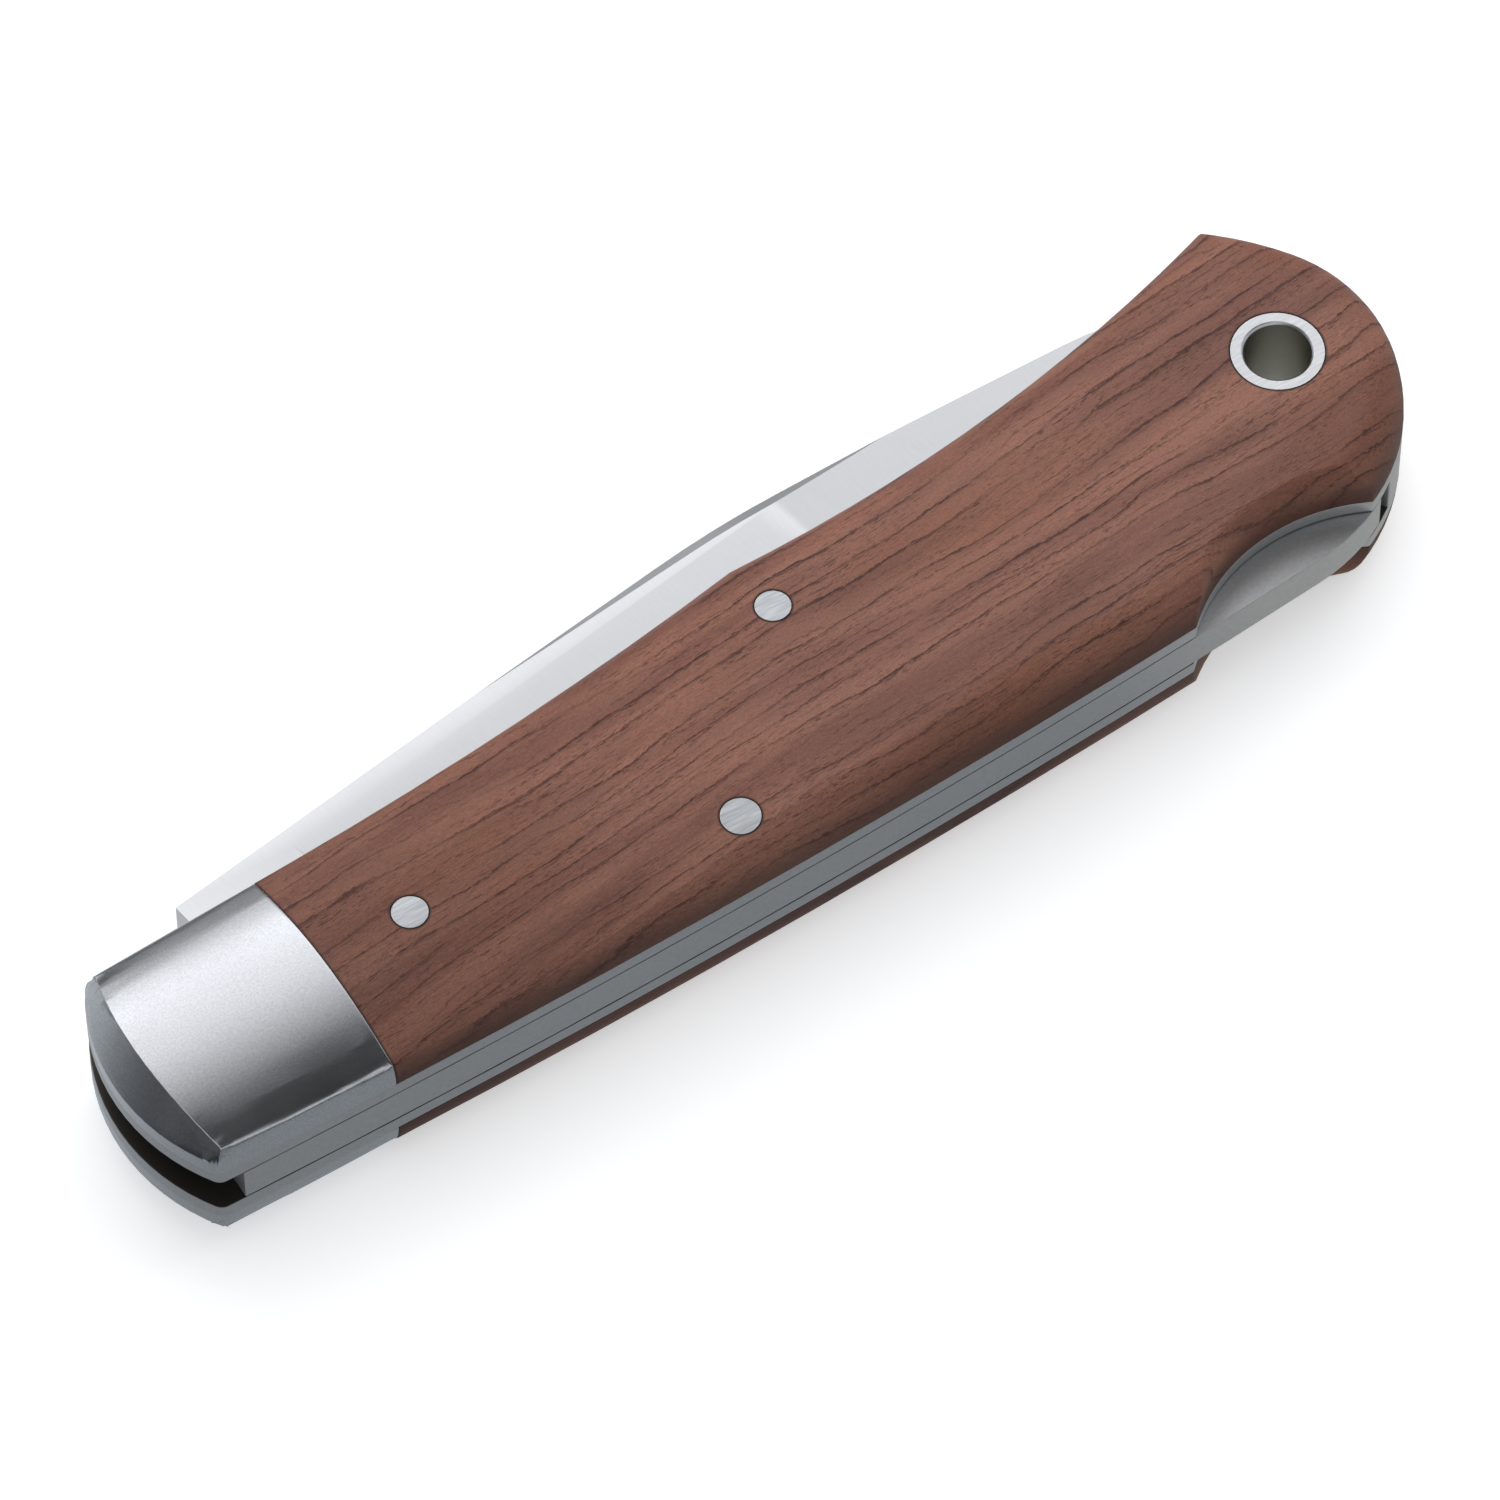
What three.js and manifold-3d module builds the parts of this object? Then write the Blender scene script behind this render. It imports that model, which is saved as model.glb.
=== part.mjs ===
// Folding pocket knife with a lock bar in its back, closed and lying on its side.
// Millimetres. X runs along the handle from the bolsters to the butt, Y across it from the spine to
// the side where the blade's back stands out, and Z up through the thickness.
// The handle is one master form, and every piece that shows on its outside is cut from that form.

import * as THREE from 'three';
import { mergeVertices } from 'three/addons/utils/BufferGeometryUtils.js';
import Module from 'manifold-3d';

const wasm = await Module();
wasm.setup();

const degree = Math.PI / 180;

// Handle outline, seen from above. X is measured from the foremost point of the bolsters.
const handleLength = 112.4;
const frontRadius = 16.3;
const frontCentreY = -1.8;
const spineY = -11.7;
const spineCrestX = 44.3;
const spineRadius = 880;
const buttRadius = 16;
const shoulderRadius = 12.8;
const shoulderTurn = -20 * degree;
const browRadius = 25;
const browTurn = 32 * degree;
const bellyY = 7.8;
const bellyStraight = 20.3;
const bellySlope = 1.25 * degree;
const bellyFrontRadius = 300;
const gripY = 11.12;
const gripX = 65.3;
const gripRadius = 134;
const beakRounding = 1.5;
const frontRounding = 1;

// Thicknesses, from the middle plane outwards
const channelWidth = 3.3;
const linerThickness = 1.2;
const scaleThickness = 4.15;
const edgeRollWidth = 3;

// Crown: round across the bolsters, flattening over the scales, level along its middle
const crownRadius = 20.3;
const crownY = -1.6;
const crownFlatX = 60;

// Bolsters and their bevelled front
const bolsterLength = 16.95;
const noseHeight = 2.95;
const noseDepth = 1.98;
const bolsterCover = 1.6;
const bolsterPinRadius = 1;
const bolsterPinInset = 3.4;
const bolsterPinY = -5.4;

// Thumb notch over the lock bar
const notchRadius = 15;
const notchDepth = 3.25;
const notchFromButt = 16.55;
const notchRollHeight = 2;
const notchRollWidth = 1.5;

// Blade: measured from its pivot along its straight back, as if the knife were open
const pivotFromFront = 9;
const pivotY = 0.2;
const pivotPinRadius = 1.5;
const bladeWidth = 14.7;
const closedTilt = 7.23 * degree;
const tipFromButt = 10.4;
const tangRadius = 4.7;
const clipStart = 49.5;
const clipCornerRadius = 80;
const clipTurn = 7.9 * degree;
const tipCurveRadius = 30;
const tipCurveLength = 8;
const edgeCurveRadius = 95;
const edgeThickness = 0.3;
const sharpThickness = 0.04;
const grindWidth = 13.2;
const sharpeningSlope = 0.3;
const ricassoLength = 14.3;
const grindWheelRadius = 10;
const kickRadius = 1.6;
const kickX = 6.4;
const choilRadius = 1.1;
const swedgeWidth = 0.75;
const swedgeDepth = 0.3;
const swedgeRunIn = 2.3 * degree;
const swedgeRunOut = 1.3 * degree;
const nickRadius = 22;
const nickWidth = 1.8;
const nickDepth = 0.7;
const nickX = 43;
const nickFromBack = 3.2;
const nickTilt = 14 * degree;

// Lock bar, its rocker pin and its spring
const rockerX = 48.1;
const rockerInset = 3.61;
const rockerPinRadius = 1.5;
const rockerBossWall = 1.9;
const lockBarHeight = 4.4;
const lockBarFront = 4.52;
const lockBarEndAngle = -61.2 * degree;
const hookWidth = 3.4;
const hookDropAngle = 1.4 * degree;
const hookPressAngle = 0.9 * degree;
const springThickness = 1.3;
const springTipX = 64.3;
const springTipRadius = 1;
const springRootLength = 6;
const springRootHeight = 3.4;
const springRootY = -1.5;
const springPinRadius = 0.8;

// End spacer, lanyard tube and the pins that close the handle
const spacerAhead = 4.4;
const spacerGapAngle = 5.5 * degree;
const spacerScoopRadius = 5.5;
const spacerPinRadius = 1;
const spacerPinInset = 4.5;
const spacerPinAngle = 42 * degree;
const lanyardInset = 9.21;
const lanyardY = 3.8;
const lanyardOuterRadius = 3.48;
const lanyardBoreRadius = 2.48;
const lanyardEdgeBreak = 0.2;
const scalePinRadius = 1.35;
const frontPinFromBolster = 7.22;
const frontPinY = -1.95;
const rearPinX = 60;
const rearPinInset = 5.67;

// Fits
const pinFit = 0.04;
const slideFit = 0.08;
const bladeSideFit = 0.1;
const kickFit = 0.1;
const hookFit = 0.12;
const contactGap = 0.3;
const bladeRoom = 1;

// Heights worked out from the thicknesses
const channelHalf = channelWidth / 2;
const linerTop = channelHalf + linerThickness;
const handleTop = linerTop + scaleThickness;
const bladeHalf = channelHalf - bladeSideFit;
const lockBarHalf = channelHalf - slideFit;
const reach = 4 * handleLength;

const point = (x, y) => new THREE.Vector2(x, y);
const polar = (centre, radius, angle) =>
  point(centre.x + radius * Math.cos(angle), centre.y + radius * Math.sin(angle));

// Points along an arc, close enough together that no chord leaves it by more than the given sag
function arc(centre, radius, from, to, sag = 0.012) {
  const widest = 2 * Math.acos(1 - sag / radius);
  const count = Math.max(2, Math.ceil(Math.abs(to - from) / widest));
  return Array.from({ length: count + 1 }, (_, i) => polar(centre, radius, from + ((to - from) * i) / count));
}

// Where two circles cross: the crossing on the left of the way from the first centre to the second
function crossing(centreA, radiusA, centreB, radiusB) {
  const between = centreB.clone().sub(centreA);
  const distance = between.length();
  const along = (distance ** 2 + radiusA ** 2 - radiusB ** 2) / (2 * distance);
  const aside = Math.sqrt(radiusA ** 2 - along ** 2);
  const direction = between.divideScalar(distance);
  return point(
    centreA.x + direction.x * along - direction.y * aside,
    centreA.y + direction.y * along + direction.x * aside
  );
}

const angleTo = (centre, p) => Math.atan2(p.y - centre.y, p.x - centre.x);

// A three.js geometry as a closed solid that can be joined, cut and intersected
function solid(geometry) {
  const bare = geometry.index ? geometry.toNonIndexed() : geometry;
  bare.deleteAttribute('normal');
  bare.deleteAttribute('uv');
  const merged = mergeVertices(bare, 1e-5);
  return new wasm.Manifold(
    new wasm.Mesh({
      numProp: 3,
      vertProperties: new Float32Array(merged.attributes.position.array),
      triVerts: new Uint32Array(merged.index.array)
    })
  );
}

// A flat plate with the given outline between two heights
function plate(outline, bottom, top) {
  const shape = new THREE.Shape(outline);
  const geometry = new THREE.ExtrudeGeometry(shape, { depth: top - bottom, bevelEnabled: false });
  return solid(geometry.translate(0, 0, bottom));
}

// A plate whose upper and lower edges slope or roll inwards all round
function bevelledPlate(outline, straight, height, width, segments) {
  const geometry = new THREE.ExtrudeGeometry(new THREE.Shape(outline), {
    depth: straight,
    bevelEnabled: true,
    bevelThickness: height,
    bevelSize: width,
    bevelOffset: -width,
    bevelSegments: segments
  });
  return solid(geometry.translate(0, 0, -straight / 2));
}

function rod(centre, radius, bottom, top, sides = 32) {
  const geometry = new THREE.CylinderGeometry(radius, radius, top - bottom, sides);
  geometry.rotateX(Math.PI / 2);
  return solid(geometry.translate(centre.x, centre.y, (top + bottom) / 2));
}

const rectangle = (fromX, toX, fromY, toY) =>
  [point(fromX, fromY), point(toX, fromY), point(toX, toY), point(fromX, toY)];

const block = (fromX, toX, fromY, toY, bottom, top) => plate(rectangle(fromX, toX, fromY, toY), bottom, top);

// Centres of the outline's arcs: the butt touches the spine's arc from inside, and runs on into the
// tighter shoulder and the flatter brow that reaches the beak
const frontCentre = point(frontRadius, frontCentreY);
const spineCentre = point(spineCrestX, spineY + spineRadius);
const shoulderInset = buttRadius - shoulderRadius;
const buttX = handleLength - shoulderRadius - shoulderInset * Math.cos(shoulderTurn);
const buttDrop = Math.sqrt((spineRadius - buttRadius) ** 2 - (buttX - spineCrestX) ** 2);
const buttCentre = point(buttX, spineCentre.y - buttDrop);
const shoulderCentre = polar(buttCentre, shoulderInset, shoulderTurn);
const browCentre = polar(shoulderCentre, shoulderRadius - browRadius, browTurn);
const gripCentre = point(gripX, gripY + gripRadius);
const bellyStart = point(bellyStraight, bellyY);
const bellyCentre = polar(bellyStart, bellyFrontRadius, Math.PI / 2 + bellySlope);

const spineAt = (x) => spineCentre.y - Math.sqrt(spineRadius ** 2 - (x - spineCrestX) ** 2);
const bellyPeak = crossing(gripCentre, gripRadius, bellyCentre, bellyFrontRadius);
const beak = crossing(gripCentre, gripRadius, browCentre, browRadius);
const spineEnd = angleTo(spineCentre, buttCentre);

// The belly and spine cross the front arc at the two front corners
function frontCorner(yAt) {
  let x = 0;
  for (let i = 0; i < 60; i++) {
    x = frontRadius - Math.sqrt(frontRadius ** 2 - (yAt(x) - frontCentreY) ** 2);
  }
  return point(x, yAt(x));
}

const bellyFrontAt = (x) => bellyY - (bellyStraight - x) * Math.tan(bellySlope);
const bellyCorner = frontCorner(bellyFrontAt);
const spineCorner = frontCorner(spineAt);

// The spine and the butt as one outline, open towards the belly, and the belly as another, open
// towards the spine. The handle is what both enclose, so their rolled edges meet cleanly at the beak.
const outlineStart = -handleLength / 4;
const pastCorner = 18 * degree;
const backOutline = [
  ...arc(spineCentre, spineRadius, angleTo(spineCentre, point(outlineStart, spineAt(outlineStart))), spineEnd),
  ...arc(buttCentre, buttRadius, spineEnd, shoulderTurn).slice(1),
  ...arc(shoulderCentre, shoulderRadius, shoulderTurn, browTurn).slice(1),
  ...arc(browCentre, browRadius, browTurn, angleTo(browCentre, beak) + pastCorner).slice(1),
  point(outlineStart, handleLength / 2)
];
const gripEnd = angleTo(gripCentre, beak) + buttRadius / gripRadius;
const pastBeak = polar(gripCentre, gripRadius, gripEnd)
  .add(polar(point(0, 0), handleLength / 2, gripEnd + Math.PI / 2));
const bellyOutline = [
  point(outlineStart, -handleLength / 2),
  point(pastBeak.x, -handleLength / 2),
  pastBeak,
  ...arc(gripCentre, gripRadius, gripEnd, angleTo(gripCentre, bellyPeak)),
  ...arc(bellyCentre, bellyFrontRadius, angleTo(bellyCentre, bellyPeak), bellySlope - Math.PI / 2).slice(1),
  point(outlineStart, bellyFrontAt(outlineStart))
];

// Distance from the outline's spine to a point at the given inset, or from its belly
const insideSpine = (x, inset) => point(x, spineAt(x) + inset);
const gripAt = (x) => gripCentre.y - Math.sqrt(gripRadius ** 2 - (x - gripX) ** 2);

// What a rounded corner takes away: the sliver between two edges that meet at the corner
function cornerSliver(corner, before, after, radius) {
  const back = before.clone().sub(corner).normalize();
  const on = after.clone().sub(corner).normalize();
  const half = Math.acos(back.dot(on)) / 2;
  const inward = back.clone().add(on).normalize();
  const centre = corner.clone().addScaledVector(inward, radius / Math.sin(half));
  const from = corner.clone().addScaledVector(back, radius / Math.tan(half));
  const to = corner.clone().addScaledVector(on, radius / Math.tan(half));
  const start = angleTo(centre, from);
  let turn = angleTo(centre, to) - start;
  turn -= Math.round(turn / (2 * Math.PI)) * 2 * Math.PI;
  const outward = (p) => p.clone().addScaledVector(inward, -radius);
  return plate([...arc(centre, radius, start, start + turn), outward(to), outward(from)], -reach, reach);
}

// Round cutter with flaring ends: the hole it leaves has rolled edges in the outer faces
function flaredRod(centre, radius, rollHeight, rollWidth) {
  const rollTurn = 70 * degree;
  const rollStart = handleTop - rollHeight * Math.sin(rollTurn);
  const flare = Array.from({ length: 7 }, (_, i) => {
    const turn = (i / 6) * (Math.PI / 2);
    return point(radius + rollWidth * (1 - Math.cos(turn)), rollStart + rollHeight * Math.sin(turn));
  });
  const lowerFlare = flare.map((p) => point(p.x, -p.y)).reverse();
  const inner = radius / 2;
  const endHeight = rollStart + rollHeight;
  const profile = [point(inner, -endHeight), ...lowerFlare, ...flare, point(inner, endHeight)];
  const ring = new THREE.LatheGeometry([...profile, profile[0]], 120);
  ring.rotateX(Math.PI / 2);
  return solid(ring.translate(centre.x, centre.y, 0)).add(rod(centre, inner + rollWidth, -reach, reach, 24));
}

// Crowned slab: the height above and below the middle plane follows the crown's curve at each place
function crownedSlab() {
  const geometry = new THREE.BoxGeometry(2 * handleLength, handleLength / 2, 2, 72, 40, 1);
  geometry.translate(handleLength / 2, crownY, 0);
  const places = geometry.attributes.position;
  for (let i = 0; i < places.count; i++) {
    const flattened = THREE.MathUtils.smoothstep(places.getX(i), bolsterLength, crownFlatX);
    const fall = (places.getY(i) - crownY) ** 2 / (2 * crownRadius);
    places.setZ(i, places.getZ(i) * Math.max(handleTop - (1 - flattened) * fall, linerTop));
  }
  return solid(geometry);
}

// Master form of the handle: edges rolled down to the liners, crowned faces, a bevelled nose,
// rounded corners and the thumb notch
const rolled = (outline) => bevelledPlate(outline, 2 * linerTop, scaleThickness, edgeRollWidth, 9);
const rolledBody = rolled(backOutline).intersect(rolled(bellyOutline)).intersect(crownedSlab());

const noseAngle = 62 * degree;
const noseOutline = [
  ...arc(frontCentre, frontRadius, Math.PI - noseAngle, Math.PI + noseAngle),
  point(2 * handleLength, -handleLength / 2),
  point(2 * handleLength, handleLength / 2)
];
const noseRise = 1.5 * noseHeight;
const noseBody = bevelledPlate(
  noseOutline,
  2 * (handleTop - noseHeight),
  noseRise,
  (noseDepth * noseRise) / noseHeight,
  1
);

const notchCentre = point(handleLength - notchFromButt, 0);
notchCentre.y = spineAt(notchCentre.x) + notchDepth - notchRadius;
const thumbNotch = flaredRod(notchCentre, notchRadius, notchRollHeight, notchRollWidth);

const alongFront = (corner, side) => polar(frontCentre, frontRadius, angleTo(frontCentre, corner) + side);
const beakBack = polar(gripCentre, gripRadius, angleTo(gripCentre, beak) - 1 / gripRadius);
const beakOn = polar(browCentre, browRadius, angleTo(browCentre, beak) - 1 / browRadius);
const cornerSlivers = [
  cornerSliver(bellyCorner, bellyStart, alongFront(bellyCorner, 1 / frontRadius), frontRounding),
  cornerSliver(spineCorner, insideSpine(frontRadius, 0), alongFront(spineCorner, -1 / frontRadius), frontRounding),
  cornerSliver(beak, beakBack, beakOn, beakRounding)
];

const wholeHandle = cornerSlivers.reduce((form, sliver) => form.subtract(sliver), rolledBody.intersect(noseBody));
const handleForm = wholeHandle.subtract(thumbNotch);

const between = (bottom, top) => block(-reach, reach, -reach, reach, bottom, top);
const beyond = (x) => block(x, reach, -reach, reach, -reach, reach);
const before = (x) => block(-reach, x, -reach, reach, -reach, reach);

// Places of the pins and the tube
const pivot = point(pivotFromFront, pivotY);
const rocker = insideSpine(rockerX, rockerInset);
const lanyard = point(handleLength - lanyardInset, lanyardY);
const frontPin = point(bolsterLength + frontPinFromBolster, frontPinY);
const rearPin = point(rearPinX, gripAt(rearPinX) - rearPinInset);
const bolsterPin = point(bolsterLength - bolsterPinInset, bolsterPinY);

// Blade in its own frame: pivot at the origin, straight back level, tip towards +X
const spineFront = spineAt(lockBarFront);
const hookDrop = (rocker.x - lockBarFront) * Math.sin(hookDropAngle);
const backHeight = pivot.y - spineFront - hookDrop;
const edgeHeight = backHeight - bladeWidth;
const notchWall = pivot.x - lockBarFront + hookFit;
const notchFloor = tangRadius - hookDrop;
const bladeReach = (handleLength - tipFromButt - pivot.x) / Math.cos(closedTilt);

const clipCornerCentre = point(clipStart, backHeight - clipCornerRadius);
const clipBreak = polar(clipCornerCentre, clipCornerRadius, Math.PI / 2 - clipTurn);
const clipEnd = point(bladeReach - tipCurveLength, 0);
clipEnd.y = clipBreak.y - (clipEnd.x - clipBreak.x) * Math.tan(clipTurn);
const tipCurveCentre = polar(clipEnd, tipCurveRadius, -Math.PI / 2 - clipTurn);
const tipCurveRun = bladeReach - tipCurveCentre.x;
const tip = point(bladeReach, tipCurveCentre.y + Math.sqrt(tipCurveRadius ** 2 - tipCurveRun ** 2));
const edgeCurveRise = tip.y - edgeHeight;
const edgeCurveRun = Math.sqrt(2 * edgeCurveRadius * edgeCurveRise - edgeCurveRise ** 2);
const edgeCurveCentre = point(tip.x - edgeCurveRun, edgeHeight + edgeCurveRadius);

const bladeOutline = [
  point(notchWall, edgeHeight),
  ...arc(edgeCurveCentre, edgeCurveRadius, -Math.PI / 2, angleTo(edgeCurveCentre, tip)),
  ...arc(tipCurveCentre, tipCurveRadius, angleTo(tipCurveCentre, tip), Math.PI / 2 - clipTurn).slice(1),
  ...arc(clipCornerCentre, clipCornerRadius, Math.PI / 2 - clipTurn, Math.PI / 2),
  point(notchWall, backHeight)
];

// The edge curve carried on past the tip and far above the back, so that only the edge is bevelled
const edgeCurveEnd = angleTo(edgeCurveCentre, tip) + pastCorner;
const pastTip = polar(edgeCurveCentre, edgeCurveRadius, edgeCurveEnd)
  .add(polar(point(0, 0), bladeReach, edgeCurveEnd + Math.PI / 2));
const grindOutline = [
  point(-bladeReach, edgeHeight),
  ...arc(edgeCurveCentre, edgeCurveRadius, -Math.PI / 2, edgeCurveEnd),
  pastTip,
  point(-bladeReach, pastTip.y)
];
const flatGrind = bevelledPlate(
  grindOutline,
  edgeThickness,
  bladeHalf - edgeThickness / 2,
  grindWidth,
  1
);
const sharpening = bevelledPlate(grindOutline, sharpThickness, bladeHalf, bladeHalf / sharpeningSlope, 1);

// The ricasso keeps the full thickness and runs out in the curve that the grinding wheel leaves
const wheelLift = bladeHalf - edgeThickness / 3;
const wheelRun = Math.sqrt(grindWheelRadius ** 2 - (grindWheelRadius - wheelLift) ** 2);
const ricassoEnd = ricassoLength + wheelRun;

function grindWheel(side) {
  const geometry = new THREE.CylinderGeometry(grindWheelRadius, grindWheelRadius, 3 * bladeWidth, 160);
  geometry.translate(ricassoEnd, 0, side * (grindWheelRadius + bladeHalf - wheelLift));
  return solid(geometry);
}

const bladeBlank = plate(bladeOutline, -bladeHalf, bladeHalf);
const ricasso = bladeBlank.subtract(beyond(ricassoEnd)).subtract(grindWheel(1)).subtract(grindWheel(-1));
const groundBlade = bladeBlank.subtract(before(ricassoLength)).intersect(flatGrind).intersect(sharpening);

// Swedge: a narrow bevel on both sides of the back, widest round the corner of the clip
const swedgeFrom = Math.PI / 2 - clipTurn + swedgeRunOut;
const swedgeTo = Math.PI / 2 - swedgeRunIn;
const swedgeArc = arc(clipCornerCentre, clipCornerRadius, swedgeFrom, swedgeTo);
const swedgeAhead = polar(swedgeArc[0], bladeReach, swedgeFrom - Math.PI / 2);
const swedgeBehind = polar(swedgeArc[swedgeArc.length - 1], bladeReach, swedgeTo + Math.PI / 2);
const swedgeForm = bevelledPlate(
  [
    point(swedgeBehind.x, -bladeReach),
    point(swedgeAhead.x, -bladeReach),
    swedgeAhead,
    ...swedgeArc,
    swedgeBehind
  ],
  2 * (bladeHalf - swedgeDepth),
  2 * swedgeDepth,
  2 * swedgeWidth,
  1
);

// Nail nick: the crescent that a thin tilted cutter leaves on the mark side
function nailNick() {
  const geometry = new THREE.CylinderGeometry(nickRadius, nickRadius, nickWidth, 96);
  geometry.translate(0, 0, -nickRadius);
  geometry.rotateX(nickTilt);
  return solid(geometry.translate(nickX, backHeight - nickFromBack, nickDepth - bladeHalf));
}

// The kick stops the closed blade on the inside of the lock bar when the bar is let down
const barInnerY = (x) => spineAt(x) + lockBarHeight;
const kickDrop = (rocker.x - pivot.x - kickX) * Math.sin(hookDropAngle);
const kickLow = barInnerY(pivot.x + kickX) + kickDrop + kickFit - pivot.y;
const kickCentre = point(kickX, (kickLow + kickRadius - kickX * Math.sin(closedTilt)) / Math.cos(closedTilt));
const tang = rod(point(0, 0), tangRadius, -bladeHalf, bladeHalf, 72);
const tangFill = block(0, notchWall, edgeHeight / 2, notchFloor, -bladeHalf, bladeHalf);
const kick = rod(kickCentre, kickRadius, -bladeHalf, bladeHalf, 32)
  .add(block(kickX - kickRadius, kickX + kickRadius, kickCentre.y, 0, -bladeHalf, bladeHalf));
const choil = rod(point(ricassoLength, edgeHeight), choilRadius, -reach, reach, 24);
const notchBack = notchWall - hookWidth - 2 * hookFit - hookDrop * Math.sin(hookDropAngle);
const lockNotch = block(notchBack, notchWall, notchFloor, reach, -reach, reach);

// Lock bar: follows the spine and the butt, with a hook in front and a boss round the rocker pin
const hookTip = pivot.y - tangRadius - hookFit;
const barOutline = [
  ...arc(spineCentre, spineRadius, angleTo(spineCentre, point(lockBarFront, spineFront)), spineEnd),
  ...arc(buttCentre, buttRadius, spineEnd, lockBarEndAngle).slice(1)
];
const barEndInner = buttCentre.clone();
const barEndRun = (buttCentre.y - barInnerY(buttCentre.x)) / -Math.sin(lockBarEndAngle);
barEndInner.copy(polar(buttCentre, barEndRun, lockBarEndAngle));
const barInside = arc(spineCentre, spineRadius - lockBarHeight, spineEnd,
  angleTo(spineCentre, point(lockBarFront, spineFront)));
const barBlank = plate([...barOutline, barEndInner, ...barInside], -lockBarHalf, lockBarHalf);
const hook = block(lockBarFront, lockBarFront + hookWidth, spineFront + lockBarHeight / 2, hookTip,
  -lockBarHalf, lockBarHalf);
const rockerBoss = rod(rocker, rockerPinRadius + rockerBossWall, -lockBarHalf, lockBarHalf, 48);
const lockBar = barBlank
  .add(hook)
  .add(rockerBoss)
  .subtract(rod(rocker, rockerPinRadius + pinFit, -reach, reach));

// Room that the hook needs in the tang of the closed blade when the lock bar is let down
const dropped = (form) =>
  form.translate([-rocker.x, -rocker.y, 0]).rotate([0, 0, -hookDropAngle / degree])
    .translate([rocker.x, rocker.y, 0]);
const hookRoom = dropped(
  block(lockBarFront - hookFit, lockBarFront + hookWidth + hookFit, -reach, hookTip + hookFit, -reach, reach)
);
const closedRelief = hookRoom.translate([-pivot.x, -pivot.y, 0]).rotate([0, 0, -closedTilt / degree]);

const bladeOpen = ricasso
  .add(groundBlade)
  .intersect(swedgeForm)
  .add(tang)
  .add(tangFill)
  .add(kick)
  .subtract(choil)
  .subtract(lockNotch)
  .subtract(closedRelief)
  .subtract(nailNick())
  .subtract(rod(point(0, 0), pivotPinRadius + pinFit, -reach, reach));
const closed = (form) => form.rotate([0, 0, closedTilt / degree]).translate([pivot.x, pivot.y, 0]);
const blade = closed(bladeOpen);

// End spacer: fills the butt between the liners, clear of the blade and of the rocking bar
const spacerStart = buttCentre.x - spacerAhead;
const edgeRoom = closed(rod(edgeCurveCentre, edgeCurveRadius + bladeRoom, -reach, reach, 240));
const pressRise = (handleLength - rocker.x) * Math.sin(hookPressAngle);
const spacerLow = barInnerY(buttCentre.x) + pressRise + contactGap;
const spacerEndAngle = lockBarEndAngle + spacerGapAngle;
const spacerCorner = polar(buttCentre, (buttCentre.y - spacerLow) / -Math.sin(spacerEndAngle), spacerEndAngle);
const barRoom = plate([
  point(0, spacerLow),
  point(0, -handleLength),
  polar(buttCentre, handleLength, spacerEndAngle),
  spacerCorner
], -reach, reach);
const springRoot = rectangle(spacerStart, spacerStart + springRootLength,
  springRootY - springRootHeight / 2, springRootY + springRootHeight / 2);
const springPin = point(spacerStart + springRootLength / 2, springRootY);
const spacerPin = polar(shoulderCentre, shoulderRadius - spacerPinInset, spacerPinAngle);
const scoopCentre = point(spacerStart - spacerScoopRadius / 4, springRootY + springRootHeight / 2
  + spacerScoopRadius);
const endSpacer = wholeHandle
  .intersect(between(-channelHalf, channelHalf))
  .intersect(beyond(spacerStart))
  .subtract(edgeRoom)
  .subtract(barRoom)
  .subtract(rod(scoopCentre, spacerScoopRadius, -reach, reach, 48))
  .subtract(plate(springRoot, -reach, reach))
  .subtract(rod(lanyard, lanyardOuterRadius + pinFit, -reach, reach, 48))
  .subtract(rod(spacerPin, spacerPinRadius + pinFit, -reach, reach, 24));

// Leaf spring: pinned in the end spacer, bent so that its tip bears on the bar behind the rocker pin
const springTip = point(springTipX, barInnerY(springTipX) + contactGap + springTipRadius);
const springRun = spacerStart - springTip.x;
const springFall = springRootY - springTip.y;
const springRadius = (springRun ** 2 + springFall ** 2) / (2 * springFall);
const springCentre = point(spacerStart, springRootY - springRadius);
const springEnd = angleTo(springCentre, springTip);
const leaf = plate([
  point(spacerStart + springRootLength / 2, springRootY - springThickness / 2),
  point(spacerStart + springRootLength / 2, springRootY + springThickness / 2),
  ...arc(springCentre, springRadius + springThickness / 2, Math.PI / 2, springEnd),
  ...arc(springCentre, springRadius - springThickness / 2, springEnd, Math.PI / 2)
], -lockBarHalf, lockBarHalf);
const backSpring = leaf
  .add(plate(springRoot, -lockBarHalf, lockBarHalf))
  .add(rod(springTip, springTipRadius, -lockBarHalf, lockBarHalf, 30))
  .subtract(rod(springPin, springPinRadius + pinFit, -reach, reach, 24));

// Lanyard tube with its inner edges broken
function lanyardTube() {
  const profile = [
    point(lanyardBoreRadius, -handleTop + lanyardEdgeBreak),
    point(lanyardBoreRadius + lanyardEdgeBreak, -handleTop),
    point(lanyardOuterRadius, -handleTop),
    point(lanyardOuterRadius, handleTop),
    point(lanyardBoreRadius + lanyardEdgeBreak, handleTop),
    point(lanyardBoreRadius, handleTop - lanyardEdgeBreak)
  ];
  const geometry = new THREE.LatheGeometry([...profile, profile[0]], 48);
  geometry.rotateX(Math.PI / 2);
  return solid(geometry.translate(lanyard.x, lanyard.y, 0));
}

// One side of the handle: liner, bolster and its hidden pin, scale and its two short pins.
// Side is +1 above, -1 below.
const pivotPinEnd = handleTop - bolsterCover;
const layer = (side, inner, outer) => (side > 0 ? between(inner, outer) : between(-outer, -inner));

function bore(form, centre, radius, sides) {
  return form.subtract(rod(centre, radius + pinFit, -reach, reach, sides));
}

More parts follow.
